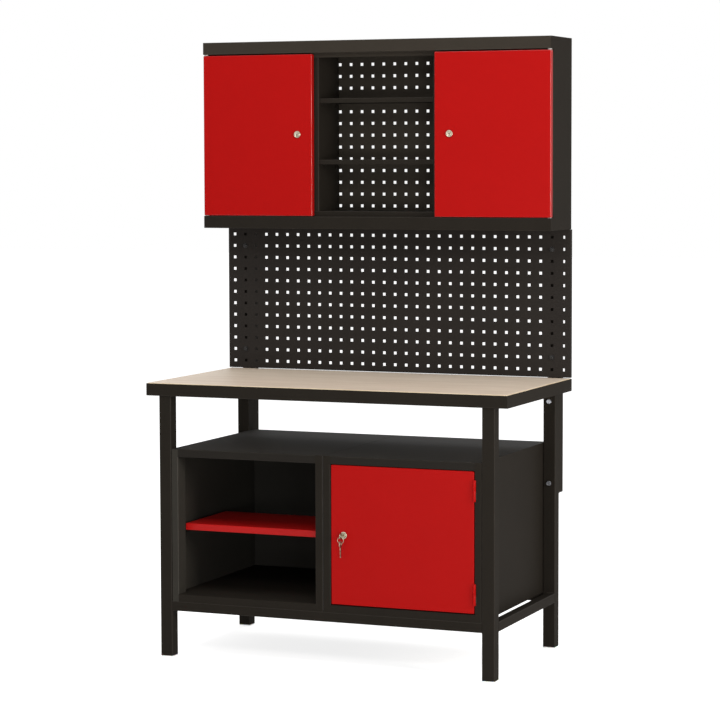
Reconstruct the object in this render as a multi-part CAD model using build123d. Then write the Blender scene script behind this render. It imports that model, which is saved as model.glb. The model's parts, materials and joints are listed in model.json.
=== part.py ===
from build123d import *
import os

# Workbench with a wall cabinet, a perforated back panel and a base cabinet.
# Millimetres. +Z up, +X to the user's right, -Y towards the user.
# Origin: on the floor, at the centre of the object's overall box.

# ---- Worktop -------------------------------------------------------------
worktop_width = 1186.0
worktop_depth = 618.0
worktop_height = 857.0
board_thickness = 38.0
board_proud = 2.0           # board stands this much above its steel edge
board_gap = 1.0             # between the board and the steel edge
edge_height = 38.0
edge_wall = 2.0
edge_flange = 45.0
strap_width = 50.0
strap_spacing = 300.0
strap_count = 3

# ---- Bench frame ---------------------------------------------------------
leg_size = 40.0
leg_wall = 2.0
tube_corner = 2.5
leg_setback = 6.0           # front faces of the legs behind the worktop's edge
glide_height = 3.0
plug_length = 18.0
plug_clearance = 0.15
rail_size = 30.0
rail_wall = 1.5
rail_bottom = 146.0

# ---- Uprights behind the bench -------------------------------------------
upright_size = 40.0
upright_wall = 2.0
upright_foot = 32.0         # upright below its lower bolt
upright_drop = 23.5         # upright's top below the wall cabinet's top
cap_height = 3.0
bolt_drop = 32.0            # upper bolt below the worktop's edge
bolt_spacing = 259.0
bolt_diameter = 8.0
bolt_hole = 8.4
bolt_head_across = 13.0
bolt_head_height = 5.3
washer_diameter = 14.0
washer_thickness = 1.6
nut_height = 6.5

# ---- Perforated sheets ---------------------------------------------------
sheet = 1.0                 # folded sheet steel
bend = 2.0                  # bend radius at the middle of the sheet
hole_pitch = 38.0
hole_size = 9.2
hole_margin = 18.0          # least distance from a hole's centre to the sheet's edge
panel_lip = 15.0            # depth of the folded rim of a perforated sheet
panel_lift = 2.4            # between the worktop and the panel
panel_joint = 0.5           # between the panel and the wall cabinet
screw_diameter = 6.0
screw_head_diameter = 12.0
screw_head_height = 3.0
screw_washer_diameter = 16.0
screw_washer_thickness = 1.5
screw_inset = 1             # screws sit this many holes in from a sheet's corner
screw_hole = 6.4

# ---- Wall cabinet --------------------------------------------------------
cabinet_inset = 3.0         # side of the cabinet inside the worktop's end
cabinet_height = 597.0
cabinet_depth = 206.0
cabinet_bottom = 1326.5
cabinet_top_rail = 38.5
cabinet_bottom_rail = 39.5
rail_return = 24.5          # depth of the rails in front of the door stop
stop_top_drop = 14.5        # door stop below the top rail
stop_bottom_rise = 17.0     # floor above the bottom rail
side_stop_width = 16.0
centre_bay = 390.0          # clear width between the two dividers
divider_flange = 20.0
shelf_lip = 15.0
shelf_gap = 0.5             # beside a shelf
shelf_setback = 2.0         # behind the door stop
centre_shelf_heights = (1546.7, 1741.3)
side_shelf_height = 1640.0
clip_size = 14.0
clip_wall = 2.0

# ---- Wall cabinet doors --------------------------------------------------
door_thickness = 20.0
door_lip = 12.0
wall_door_inset = 0.5       # outer edge of a door inside the cabinet's side
wall_door_overlap = 13.3    # divider's inner face to a door's free edge
wall_door_gap_bottom = 1.5
wall_door_gap_top = 4.0
pivot_offset = 6.5          # pivot axis from the outer edge of the door
pivot_diameter = 6.0
pivot_engagement = 8.0
pivot_washer_diameter = 13.0
pivot_clearance = 0.05
washer_gap = 0.3

# ---- Cam locks -----------------------------------------------------------
lock_offset = 50.0          # lock axis from the free edge of a wall door
wall_lock_height = 1627.0
lock_collar_diameter = 22.0
lock_collar_height = 3.0
lock_body_diameter = 18.0
lock_body_gap = 6.0         # lock body past the rear of the door
lock_nut_across = 23.0
lock_nut_height = 5.0
lock_plug_diameter = 13.0
lock_plug_clearance = 0.05
lock_plug_proud = 1.2
lock_hole = 18.1
keyway_width = 2.6
keyway_height = 9.0
keyway_depth = 17.0
cam_length = 51.0
cam_width = 16.0
cam_thickness = 2.5
cam_end = 9.0               # cam past the lock axis on its short side
cam_gap = 0.5

# ---- Base cabinet --------------------------------------------------------
base_side_gap = 1.0         # between the base cabinet and the legs
base_setback = 1.0          # behind the legs' front faces
base_rear_gap = 1.0
base_height = 477.0
module_gap = 1.0            # between the two modules' inner sides
outer_stile = 22.0
inner_stile = 24.5
stile_return = 50.0
base_top_rail = 24.5
base_bottom_rail = 22.5
foot_return = 29.0          # bottom rail's fold over the front frame rail
top_return = 15.0           # top rail's fold
shelf_front_inset = 49.0
base_shelf_depth = 290.0
base_shelf_lip = 20.5
base_shelf_top = 415.5
base_shelf_gap = 1.0
bracket_height = 15.0
bracket_wall = 2.0
bracket_reach = 12.0
bracket_inset = 30.0

# ---- Base cabinet door ---------------------------------------------------
base_door_gap_side = 2.0
base_door_gap_top = 2.0
base_door_gap_bottom = 3.0
base_lock_offset = 41.5
lock_slot_height = 62.0
lock_slot_drop = 14.0       # top of the slot above the lock axis
lock_slot_depth = 12.0
hinge_length = 64.0
hinge_diameter = 10.0
hinge_heights = (258.6, 568.7)
hinge_pin_diameter = 5.0
hinge_clearance = 0.05
hinge_joint_gap = 0.4
hinge_axis_inset = 0.6      # hinge axis from the stile into the door gap
hinge_axis_proud = 1.5      # hinge axis in front of the door's face
hinge_notch_clearance = 0.4

# ---- Keys ----------------------------------------------------------------
key_thickness = 2.0
key_blade_height = 8.0
key_blade_reach = 14.0
key_shank = 7.0
key_root = 2.0              # shank inside the bow
bow_width = 20.0
bow_height = 22.0
bow_hole = 8.0
ring_diameter = 21.0
ring_wire = 1.5
ring_clearance = 1.0        # between the ring's wire and the hole it hangs in
spare_length = 42.0

# ---- Places worked out from the sizes above ------------------------------
key_reach = lock_collar_height + lock_plug_proud + key_shank + bow_height - bow_hole + bow_width / 2
key_overhang = key_reach - leg_setback - base_setback
y_front = (key_overhang - worktop_depth - upright_size) / 2
y_rear = y_front + worktop_depth
edge_top = worktop_height - board_proud
edge_bottom = edge_top - edge_height
leg_top = edge_bottom
cabinet_width = worktop_width - 2 * cabinet_inset
back_width = cabinet_width - 2 * sheet


def holes_along(length):
    """How many holes fit along a sheet."""
    return int((length - 2 * hole_margin) // hole_pitch) + 1


hole_columns = holes_along(back_width)
leg_x = ((hole_columns - 1) / 2 - screw_inset) * hole_pitch
leg_span = 2 * leg_x + leg_size
front_leg_y = y_front + leg_setback + leg_size / 2
rear_leg_y = y_rear - leg_size / 2
upright_y = y_rear + upright_size / 2

panel_y = y_rear - panel_lip
panel_bottom = worktop_height + panel_lift
panel_height = cabinet_bottom - panel_joint - panel_bottom

bolt_heights = (edge_bottom - bolt_drop - bolt_spacing, edge_bottom - bolt_drop)
upright_bottom = bolt_heights[0] - upright_foot
cabinet_top = cabinet_bottom + cabinet_height
upright_top = cabinet_top - upright_drop
cabinet_y = y_rear - cabinet_depth
cabinet_x = cabinet_width / 2
stop_y = cabinet_y + rail_return
top_rail_z = cabinet_top - cabinet_top_rail
bottom_rail_z = cabinet_bottom + cabinet_bottom_rail
stop_top_z = top_rail_z - stop_top_drop
floor_z = bottom_rail_z + stop_bottom_rise
back_bottom = cabinet_bottom + sheet
back_height = cabinet_height - 2 * sheet
divider_x = centre_bay / 2

wall_door_bottom = bottom_rail_z + wall_door_gap_bottom
wall_door_top = top_rail_z - wall_door_gap_top
wall_door_outer = cabinet_x - wall_door_inset
wall_door_free_edge = divider_x + wall_door_overlap
pivot_x = wall_door_outer - pivot_offset
pivot_y = cabinet_y + door_thickness / 2
wall_lock_x = wall_door_free_edge + lock_offset

base_x = leg_span / 2 - leg_size - base_side_gap
base_y = y_front + leg_setback + base_setback
base_rear = y_rear - base_rear_gap
base_z = rail_bottom + rail_size
base_top_z = base_z + base_height
opening_top = base_top_z - base_top_rail
opening_bottom = base_z + base_bottom_rail
inner_x = module_gap / 2
opening_inner = inner_x + inner_stile
opening_outer = base_x - outer_stile

base_door_left = opening_inner + base_door_gap_side
base_door_right = opening_outer - base_door_gap_side
base_door_bottom = opening_bottom + base_door_gap_bottom
base_door_top = opening_top - base_door_gap_top
base_lock_x = base_door_left + base_lock_offset
base_lock_z = (base_door_bottom + base_door_top) / 2
hinge_x = opening_outer - hinge_axis_inset
hinge_y = base_y - hinge_axis_proud

lock_body_length = door_thickness + lock_body_gap
key_front = base_y - lock_collar_height - lock_plug_proud - key_shank
ring_y = key_front - bow_height + bow_hole
ring_top_z = base_lock_z - bow_hole / 2 + ring_clearance + ring_wire / 2
ring_z = ring_top_z - (ring_diameter - ring_wire) / 2
ring_low_z = ring_z - (ring_diameter - ring_wire) / 2
spare_z = ring_low_z - bow_hole / 2 + ring_clearance + ring_wire / 2


def block(x0, x1, y0, y1, z0, z1):
    """A box between two corners."""
    size = Box(abs(x1 - x0), abs(y1 - y0), abs(z1 - z0))
    return Pos((x0 + x1) / 2, (y0 + y1) / 2, (z0 + z1) / 2) * size


def cylinder_y(x, z, y0, y1, diameter):
    """A round bar along Y."""
    turned = Rot(90, 0, 0) * Cylinder(diameter / 2, abs(y1 - y0))
    return Pos(x, (y0 + y1) / 2, z) * turned


def cylinder_z(x, y, z0, z1, diameter):
    """A round bar along Z."""
    return Pos(x, y, (z0 + z1) / 2) * Cylinder(diameter / 2, abs(z1 - z0))


def hex_y(x, z, y0, y1, across):
    """A hexagonal bar along Y, given across its flats."""
    profile = Plane.XZ.offset(-y0) * RegularPolygon(across / 2, 6, major_radius=False)
    return Pos(x, 0, z) * extrude(profile, amount=-(y1 - y0))


def mirror_x(part):
    """The same part on the other side of the centre plane."""
    return mirror(part, about=Plane.YZ)


def tube_profile(size, wall):
    """A square tube's section with rounded corners."""
    outer = RectangleRounded(size, size, tube_corner)
    inner = RectangleRounded(size - 2 * wall, size - 2 * wall, tube_corner - wall / 2)
    return outer - inner


def tube_z(x, y, z0, z1, size, wall):
    """An upright square tube."""
    return Pos(x, y, z0) * extrude(tube_profile(size, wall), amount=z1 - z0)


def tube_x(x0, x1, y, z, size, wall):
    """A square tube along X."""
    return extrude(Plane.YZ.offset(x0) * Pos(y, z) * tube_profile(size, wall), amount=x1 - x0)


def tube_y(x, y0, y1, z, size, wall):
    """A square tube along Y."""
    return extrude(Plane.XZ.offset(-y0) * Pos(x, z) * tube_profile(size, wall), amount=-(y1 - y0))


def tube_plug(x, y, z_end, inward, size, wall, flange):
    """A plastic end plug: a flange outside the tube's end and a spigot inside it."""
    inner = size - 2 * wall - 2 * plug_clearance
    plate = extrude(RectangleRounded(size, size, tube_corner), amount=-inward * flange)
    spigot = extrude(RectangleRounded(inner, inner, tube_corner - wall / 2), amount=inward * plug_length)
    return Pos(x, y, z_end) * (plate + spigot)


def folded_x(points, x0, x1, thickness=sheet):
    """Folded sheet along X, from the middle line of its section in Y and Z."""
    section = trace(FilletPolyline(*points, radius=bend), line_width=thickness)
    return extrude(Plane.YZ.offset(x0) * section, amount=x1 - x0)


def folded_z(points, z0, z1):
    """Folded sheet along Z, from the middle line of its section in X and Y."""
    section = trace(FilletPolyline(*points, radius=bend), line_width=sheet)
    return extrude(Plane.XY.offset(z0) * section, amount=z1 - z0)


def soft_shell(x0, x1, y0, y1, z0, z1):
    """A hollow closed box of sheet with rounded bends."""
    outer = block(x0, x1, y0, y1, z0, z1)
    inner = block(x0 + sheet, x1 - sheet, y0 + sheet, y1 - sheet, z0 + sheet, z1 - sheet)
    return fillet(outer.edges(), bend + sheet / 2) - fillet(inner.edges(), bend - sheet / 2)


def pan(x0, x1, y0, y1, z0, z1, lip):
    """A folded door: a front sheet with four returns and an inward lip at the rear."""
    rear = block(x0 + lip, x1 - lip, y1 - 2 * sheet, y1 + sheet, z0 + lip, z1 - lip)
    return soft_shell(x0, x1, y0, y1, z0, z1) - rear


def tray(x0, x1, y0, y1, z_top, lip):
    """A shelf folded down on all four sides."""
    shell = soft_shell(x0, x1, y0, y1, z_top - 2 * lip, z_top)
    return shell - block(x0 - sheet, x1 + sheet, y0 - sheet, y1 + sheet, z_top - 3 * lip, z_top - lip)


def corners(x0, x1, z0, z1):
    """The four corners of an upright rectangle, in order."""
    return [(x0, z0), (x1, z0), (x1, z1), (x0, z1)]


def perforated_sheet(width, height, z0):
    """A sheet with a grid of square holes and a rim folded to the rear."""
    x_edge = width / 2
    z1 = z0 + height
    outline = Wire.make_polygon([(x, panel_y, z) for x, z in corners(-x_edge, x_edge, z0, z1)])
    half = hole_size / 2
    first_x = -(hole_columns - 1) * hole_pitch / 2
    holes = []
    for column in range(hole_columns):
        for z in hole_heights(z0, height):
            x = first_x + column * hole_pitch
            hole = corners(x - half, x + half, z - half, z + half)
            holes.append(Wire.make_polygon([(cx, panel_y, cz) for cx, cz in hole]))
    face = Solid.extrude(Face(outline, holes), Vector(0, sheet, 0))
    outer = block(-x_edge, x_edge, panel_y + sheet, y_rear, z0, z0 + height)
    inner = block(
        -x_edge + sheet, x_edge - sheet, panel_y, y_rear + sheet, z0 + sheet, z0 + height - sheet
    )
    return face + (outer - inner)


def hole_heights(z0, height):
    """Heights of the rows of holes in a sheet, from the bottom."""
    rows = holes_along(height)
    first = z0 + (height - (rows - 1) * hole_pitch) / 2
    return [first + row * hole_pitch for row in range(rows)]


# ---- Bench frame ---------------------------------------------------------
def front_leg(side):
    return tube_z(side * leg_x, front_leg_y, glide_height, leg_top, leg_size, leg_wall)


def rear_leg(side):
    leg = tube_z(side * leg_x, rear_leg_y, glide_height, leg_top, leg_size, leg_wall)
    for z in bolt_heights:
        leg -= cylinder_y(side * leg_x, z, y_rear - leg_size - sheet, y_rear + sheet, bolt_hole)
    return leg


def foot_glides():
    places = [(s * leg_x, y) for s in (-1, 1) for y in (front_leg_y, rear_leg_y)]
    return [tube_plug(x, y, glide_height, 1, leg_size, leg_wall, glide_height) for x, y in places]


def cross_rail(y):
    half = leg_span / 2 - leg_size
    return tube_x(-half, half, y, rail_bottom + rail_size / 2, rail_size, rail_wall)


def side_rail(side):
    x = side * (leg_span - rail_size) / 2
    y0 = front_leg_y + leg_size / 2
    y1 = rear_leg_y - leg_size / 2
    return tube_y(x, y0, y1, rail_bottom + rail_size / 2, rail_size, rail_wall)


# ---- Worktop -------------------------------------------------------------
def long_edge(y_wall, inward):
    """Front or rear angle: a wall along the worktop and a flange under the board."""
    half = worktop_width / 2
    y_middle = y_wall + inward * edge_wall / 2
    z_middle = edge_bottom + edge_wall / 2
    corner = [(y_middle, edge_top), (y_middle, z_middle), (y_wall + inward * edge_flange, z_middle)]
    return folded_x(corner, -half, half, edge_wall)


def short_edge(side):
    """Angle at one end of the worktop, between the front and rear angles."""
    outer = side * worktop_width / 2
    wall = block(outer, outer - side * edge_wall, y_front + edge_wall, y_rear - edge_wall,
                 edge_bottom + edge_wall, edge_top)
    foot = block(outer, outer - side * edge_wall, y_front + edge_flange, y_rear - edge_flange,
                 edge_bottom, edge_top)
    flange = block(outer, outer - side * edge_flange, y_front + edge_flange, y_rear - edge_flange,
                   edge_bottom, edge_bottom + edge_wall)
    return wall + foot + flange - long_edge(y_front, 1) - long_edge(y_rear, -1)


def worktop_board():
    half = worktop_width / 2 - edge_wall - board_gap
    y0 = y_front + edge_wall + board_gap
    y1 = y_rear - edge_wall - board_gap
    z0 = edge_bottom + edge_wall
    return block(-half, half, y0, y1, z0, z0 + board_thickness)


def worktop_straps():
    first = -strap_spacing * (strap_count - 1) / 2
    straps = []
    for i in range(strap_count):
        x = first + i * strap_spacing
        straps.append(block(x - strap_width / 2, x + strap_width / 2, y_front + edge_flange,
                            y_rear - edge_flange, edge_bottom, edge_bottom + edge_wall))
    return straps


# ---- Uprights and their fastenings ---------------------------------------
def upright(side):
    post = tube_z(side * leg_x, upright_y, upright_bottom, upright_top, upright_size, upright_wall)
    for z in bolt_heights:
        post -= cylinder_y(side * leg_x, z, y_rear - sheet, y_rear + upright_wall + sheet, bolt_hole)
    for z in screw_heights():
        post -= cylinder_y(side * leg_x, z, y_rear - sheet, y_rear + upright_wall + sheet, screw_hole)
    return post


def upright_caps():
    caps = []
    for side in (-1, 1):
        for z_end, inward in ((upright_bottom, 1), (upright_top, -1)):
            x = side * leg_x
            caps.append(tube_plug(x, upright_y, z_end, inward, upright_size, upright_wall, cap_height))
    return caps


def upright_bolts():
    """Hexagon bolts through the rear legs into nuts inside the uprights."""
    pieces = []
    leg_face = y_rear - leg_size
    nut_face = y_rear + upright_wall
    for side in (-1, 1):
        x = side * leg_x
        for z in bolt_heights:
            washer = cylinder_y(x, z, leg_face - washer_thickness, leg_face, washer_diameter)
            head_face = leg_face - washer_thickness
            head = hex_y(x, z, head_face - bolt_head_height, head_face, bolt_head_across)
            shank = cylinder_y(x, z, head_face, nut_face + nut_height, bolt_diameter)
            bore = cylinder_y(x, z, leg_face - washer_thickness, nut_face + nut_height, bolt_hole)
            nut = hex_y(x, z, nut_face, nut_face + nut_height, bolt_head_across)
            pieces += [head + shank, washer - bore, nut - bore]
    return pieces


def screw_heights():
    """Heights of the screws that hold the perforated panel and the wall cabinet."""
    heights = []
    for z0, height in ((panel_bottom, panel_height), (back_bottom, back_height)):
        rows = hole_heights(z0, height)
        heights += [rows[screw_inset], rows[-1 - screw_inset]]
    return heights


def panel_screws():
    """Screws with washers through the perforations, each with a sleeve to its upright."""
    pieces = []
    for side in (-1, 1):
        x = side * leg_x
        for z in screw_heights():
            face = panel_y - screw_washer_thickness
            end = y_rear + upright_wall
            bore = cylinder_y(x, z, face - sheet, end + sheet, screw_hole)
            head = cylinder_y(x, z, face - screw_head_height, face, screw_head_diameter)
            shank = cylinder_y(x, z, face, end, screw_diameter)
            washer = cylinder_y(x, z, face, panel_y, screw_washer_diameter)
            sleeve = cylinder_y(x, z, panel_y + sheet, y_rear, screw_washer_diameter)
            pieces += [head + shank, washer - bore, sleeve - bore]
    return pieces


# ---- Wall cabinet --------------------------------------------------------
def wall_back():
    return perforated_sheet(back_width, back_height, back_bottom)


def wall_top():
    """Roof, front rail, its return and the door stop below it, folded from one sheet."""
    inner = cabinet_x - sheet
    half = sheet / 2
    section = [
        (y_rear, cabinet_top - half),
        (cabinet_y + half, cabinet_top - half),
        (cabinet_y + half, top_rail_z + half),
        (stop_y + half, top_rail_z + half),
        (stop_y + half, stop_top_z),
    ]
    return folded_x(section, -inner, inner)


def wall_bottom():
    """Front rail, its return, the door stop and the floor, folded from one sheet."""
    inner = cabinet_x - sheet
    half = sheet / 2
    section = [
        (panel_y, cabinet_bottom + half),
        (cabinet_y + half, cabinet_bottom + half),
        (cabinet_y + half, bottom_rail_z - half),
        (stop_y + half, bottom_rail_z - half),
        (stop_y + half, floor_z - half),
        (panel_y, floor_z - half),
    ]
    return folded_x(section, -inner, inner)


def wall_side(side):
    """Side sheet with a stop flange behind the door and a flange at the rear."""
    outer = side * cabinet_x
    inner = side * (cabinet_x - sheet)
    middle = side * (cabinet_x - sheet / 2)
    y_web = stop_y + 2 * bend
    panel = block(outer, inner, y_web, y_rear, cabinet_bottom, cabinet_top)
    for z0, z1, rail_z in ((cabinet_bottom, floor_z, bottom_rail_z), (stop_top_z, cabinet_top, top_rail_z)):
        panel += block(outer, inner, stop_y, y_web, z0, z1)
        rail_edge = cabinet_bottom if z0 == cabinet_bottom else cabinet_top
        ear = block(outer, inner, cabinet_y, y_web, min(rail_z, rail_edge), max(rail_z, rail_edge))
        panel += fillet(ear.edges().filter_by(Axis.X), bend + sheet / 2)
    y_stop = stop_y + sheet / 2
    stop = [(middle, y_web), (middle, y_stop), (side * (cabinet_x - side_stop_width), y_stop)]
    return panel + folded_z(stop, floor_z, stop_top_z)


def wall_divider(side):
    """Upright sheet beside the centre bay, with a front flange that stops the door."""
    middle = side * (divider_x + sheet / 2)
    y_stop = stop_y + sheet / 2
    section = [(middle, panel_y), (middle, y_stop), (side * (divider_x + divider_flange), y_stop)]
    web = folded_z(section, floor_z, stop_top_z)
    upper = block(side * divider_x, side * (divider_x + sheet), stop_y + 2 * bend, panel_y,
                  stop_top_z - sheet, cabinet_top - sheet)
    return web + upper


def centre_shelf(z_top):
    half = divider_x - shelf_gap
    return tray(-half, half, stop_y + shelf_setback, panel_y, z_top, shelf_lip)


def side_shelf(side):
    inner = divider_x + sheet + shelf_gap
    outer = cabinet_x - sheet - shelf_gap
    shelf = tray(inner, outer, stop_y + lock_room(), panel_y, side_shelf_height, shelf_lip)
    return shelf if side > 0 else mirror_x(shelf)


def lock_room():
    """Depth behind the door stop that the lock and its cam need."""
    return lock_nut_height + cam_thickness + lock_body_gap


def clip(x, y, z_top, toward):
    """A small angle that carries a shelf on an upright sheet."""
    arm = block(x, x + toward * clip_size, y, y + clip_size, z_top - clip_wall, z_top)
    leg = block(x, x + toward * clip_wall, y, y + clip_size, z_top - clip_size, z_top)
    return arm + leg


def wall_shelf_clips():
    """Four clips under each shelf of the wall cabinet."""
    front = stop_y + lock_room() + clip_size
    rear = panel_y - 2 * clip_size
    clips = []
    for y in (front, rear):
        for z_top in centre_shelf_heights:
            for side in (-1, 1):
                clips.append(clip(side * divider_x, y, z_top - shelf_lip, -side))
        for side in (-1, 1):
            z = side_shelf_height - shelf_lip
            clips.append(clip(side * (divider_x + sheet), y, z, side))
            clips.append(clip(side * (cabinet_x - sheet), y, z, -side))
    return clips


def wall_door(side):
    """Folded door with a lock hole and a pivot hole at each end of its outer edge."""
    inner = wall_door_free_edge
    door = pan(inner, wall_door_outer, cabinet_y, cabinet_y + door_thickness,
               wall_door_bottom, wall_door_top, door_lip)
    pivot_hole = pivot_diameter + 2 * pivot_clearance
    door -= cylinder_z(pivot_x, pivot_y, wall_door_bottom - sheet, wall_door_bottom + 2 * sheet, pivot_hole)
    door -= cylinder_z(pivot_x, pivot_y, wall_door_top - 2 * sheet, wall_door_top + sheet, pivot_hole)
    door -= cylinder_y(wall_lock_x, wall_lock_height, cabinet_y - sheet, cabinet_y + 2 * sheet, lock_hole)
    return door if side > 0 else mirror_x(door)


def pivot_pins():
    """Headed pins riveted in the rails, one at each end of each door."""
    pins = []
    for side in (-1, 1):
        x = side * pivot_x
        low = cylinder_z(x, pivot_y, bottom_rail_z, wall_door_bottom + pivot_engagement, pivot_diameter)
        high = cylinder_z(x, pivot_y, wall_door_top - pivot_engagement, top_rail_z, pivot_diameter)
        pins += [low, high]
    return pins


def pivot_washers():
    """Plastic washers on the pins, between the doors and the rails."""
    bore = pivot_diameter + 2 * pivot_clearance
    washers = []
    for side in (-1, 1):
        x = side * pivot_x
        spans = ((bottom_rail_z, wall_door_bottom - washer_gap), (wall_door_top + washer_gap, top_rail_z))
        for z0, z1 in spans:
            ring = cylinder_z(x, pivot_y, z0, z1, pivot_washer_diameter)
            washers.append(ring - cylinder_z(x, pivot_y, z0 - sheet, z1 + sheet, bore))
    return washers


# ---- Cam locks -----------------------------------------------------------
def lock_body(x, z, face):
    """Collar and barrel of a cam lock, with the nut that clamps it to the door's sheet."""
    rear = face + lock_body_length
    plug_bore = lock_plug_diameter + 2 * lock_plug_clearance
    barrel = cylinder_y(x, z, face, rear, lock_body_diameter)
    collar = cylinder_y(x, z, face - lock_collar_height, face, lock_collar_diameter)
    bore = cylinder_y(x, z, face - 2 * lock_collar_height, rear + lock_collar_height, plug_bore)
    nut = hex_y(x, z, face + sheet, face + sheet + lock_nut_height, lock_nut_across)
    return [barrel + collar - bore, nut - cylinder_y(x, z, face, rear, lock_hole)]


def lock_plug(x, z, face):
    """Turning plug with its keyway, and the cam behind it, pointing down when unlocked."""
    front = face - lock_collar_height - lock_plug_proud
    rear = face + lock_body_length + cam_gap
    plug = cylinder_y(x, z, front, rear, lock_plug_diameter)
    slot = block(x - keyway_width / 2, x + keyway_width / 2, front - sheet, front + keyway_depth,
                 z - keyway_height / 2, z + keyway_height / 2)
    straight = block(x - cam_width / 2, x + cam_width / 2, rear, rear + cam_thickness,
                     z - cam_length + cam_width / 2, z)
    tip = cylinder_y(x, z - cam_length + cam_width / 2, rear, rear + cam_thickness, cam_width)
    hub = cylinder_y(x, z, rear, rear + cam_thickness, 2 * cam_end)
    return [plug - slot, straight + tip + hub]


# ---- Base cabinet --------------------------------------------------------
def base_top(side):
    """Top plate of one module with the rail folded down at the front."""
    near = inner_x + sheet
    far = base_x - sheet
    half = sheet / 2
    y_back = base_rear - sheet
    section = [
        (y_back, base_top_z - half),
        (base_y + half, base_top_z - half),
        (base_y + half, opening_top + half),
        (base_y + top_return, opening_top + half),
    ]
    rail = folded_x(section, opening_inner, opening_outer)
    top = rail + block(near, far, base_y + 2 * bend, y_back, base_top_z - sheet, base_top_z)
    return top if side > 0 else mirror_x(top)


def base_upright(x_face, inward, stile):
    """A side sheet folded into a stile at the front, with the stile's return at the opening."""
    x_web = x_face + inward * sheet / 2
    x_edge = x_face + inward * stile
    y_middle = base_y + sheet / 2
    y_back = base_rear - sheet
    corner = [(x_web, y_back), (x_web, y_middle), (x_edge, y_middle)]
    x_return = x_edge - inward * sheet / 2
    hook = [(x_web, y_back), (x_web, y_middle), (x_return, y_middle), (x_return, base_y + stile_return)]
    lower = folded_z(corner, base_z, opening_bottom)
    upper = folded_z(corner, opening_top, base_top_z)
    return lower + folded_z(hook, opening_bottom, opening_top) + upper


def base_side(side):
    """Outer side of one module. The right one is notched for the barrels of the door's hinges."""
    panel = base_upright(side * base_x, -side, outer_stile)
    if side > 0:
        panel -= hinge_notches(1)
    return panel


def hinge_notches(loose):
    """Round notches for the hinges: close on the half that is welded on, loose on the half that turns."""
    notches = []
    for z in hinge_heights:
        for half in (-1, 1):
            gap = hinge_notch_clearance if half == loose else 0
            z_end = z + half * (hinge_length / 2 + gap)
            width = hinge_diameter + 2 * gap
            notches.append(cylinder_z(hinge_x, hinge_y, min(z, z_end), max(z, z_end), width))
    return notches


def base_divider(side):
    """Inner side of one module. The right one has a slot for the cam of the door's lock."""
    divider = base_upright(side * inner_x, side, inner_stile)
    if side > 0:
        cam_y = base_y + lock_body_length + cam_gap
        top = base_lock_z + lock_slot_drop
        divider -= block(opening_inner - 2 * sheet, opening_inner + sheet, cam_y - lock_slot_depth / 2,
                         cam_y + lock_slot_depth, top - lock_slot_height, top)
    return divider


def base_bottom(side):
    """Floor of one module with the rail folded down at the front and its foot."""
    near = inner_x + sheet
    far = base_x - sheet
    floor = block(near, far, base_y + stile_return, base_rear - sheet, opening_bottom - sheet, opening_bottom)
    front_floor = block(opening_inner, opening_outer, base_y, base_rear - sheet, opening_bottom - sheet,
                        opening_bottom)
    front = block(opening_inner, opening_outer, base_y, base_y + sheet, base_z, opening_bottom)
    foot = block(opening_inner, opening_outer, base_y, base_y + foot_return, base_z, base_z + sheet)
    floor_part = floor + front_floor + front + foot
    return floor_part if side > 0 else mirror_x(floor_part)


def base_back():
    return block(-base_x, base_x, base_rear - sheet, base_rear, base_z, base_top_z)


def base_shelf():
    x0 = -opening_outer + base_shelf_gap
    x1 = -opening_inner - base_shelf_gap
    y0 = base_y + shelf_front_inset
    return tray(x0, x1, y0, y0 + base_shelf_depth, base_shelf_top, base_shelf_lip)


def base_shelf_brackets():
    """Angles on the module's two sides that carry the shelf."""
    z_top = base_shelf_top - base_shelf_lip
    y0 = base_y + shelf_front_inset + bracket_inset
    y1 = base_y + shelf_front_inset + base_shelf_depth - bracket_inset
    brackets = []
    for face, toward, stile in ((-base_x + sheet, 1, outer_stile), (-inner_x - sheet, -1, inner_stile)):
        reach = stile + bracket_reach
        arm = block(face, face + toward * reach, y0, y1, z_top - bracket_wall, z_top)
        leg = block(face, face + toward * bracket_wall, y0, y1, z_top - bracket_height, z_top)
        brackets.append(arm + leg)
    return brackets


def base_door():
    door = pan(base_door_left, base_door_right, base_y, base_y + door_thickness,
               base_door_bottom, base_door_top, door_lip)
    door -= cylinder_y(base_lock_x, base_lock_z, base_y - sheet, base_y + 2 * sheet, lock_hole)
    return door - hinge_notches(-1)


def hinge_barrels():
    """Upper half of each hinge, welded into the door's notch."""
    bore = hinge_pin_diameter + 2 * hinge_clearance
    barrels = []
    for z in hinge_heights:
        z0 = z + hinge_joint_gap / 2
        z1 = z + hinge_length / 2
        barrel = cylinder_z(hinge_x, hinge_y, z0, z1, hinge_diameter)
        barrels.append(barrel - cylinder_z(hinge_x, hinge_y, z0 - sheet, z1 - sheet, bore))
    return barrels


def hinge_pins():
    """Lower half of each hinge with its pin, welded into the stile's notch."""
    pins = []
    for z in hinge_heights:
        z0 = z - hinge_length / 2
        z1 = z - hinge_joint_gap / 2
        barrel = cylinder_z(hinge_x, hinge_y, z0, z1, hinge_diameter)
        pin = cylinder_z(hinge_x, hinge_y, z0, z + hinge_length / 2 - 2 * sheet, hinge_pin_diameter)
        pins.append(barrel + pin)
    return pins


# ---- Keys ----------------------------------------------------------------
def key_shape(blade, front_y, x, z):
    """A flat key lying in the YZ plane, its blade along +Y, with a hole in the bow."""
    bow = Pos(-bow_height / 2, 0) * Ellipse(bow_height / 2, bow_width / 2)
    shank = Pos((key_shank + blade - key_root) / 2, 0) * Rectangle(key_shank + blade + key_root,
                                                                  key_blade_height)
    hole = Pos(-bow_height + bow_hole, 0) * Circle(bow_hole / 2)
    flat = Plane.YZ * (bow + shank - hole)
    return Pos(x - key_thickness / 2, front_y, z) * extrude(flat, amount=key_thickness)


def inserted_key():
    return key_shape(key_blade_reach, key_front, base_lock_x, base_lock_z)


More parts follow.
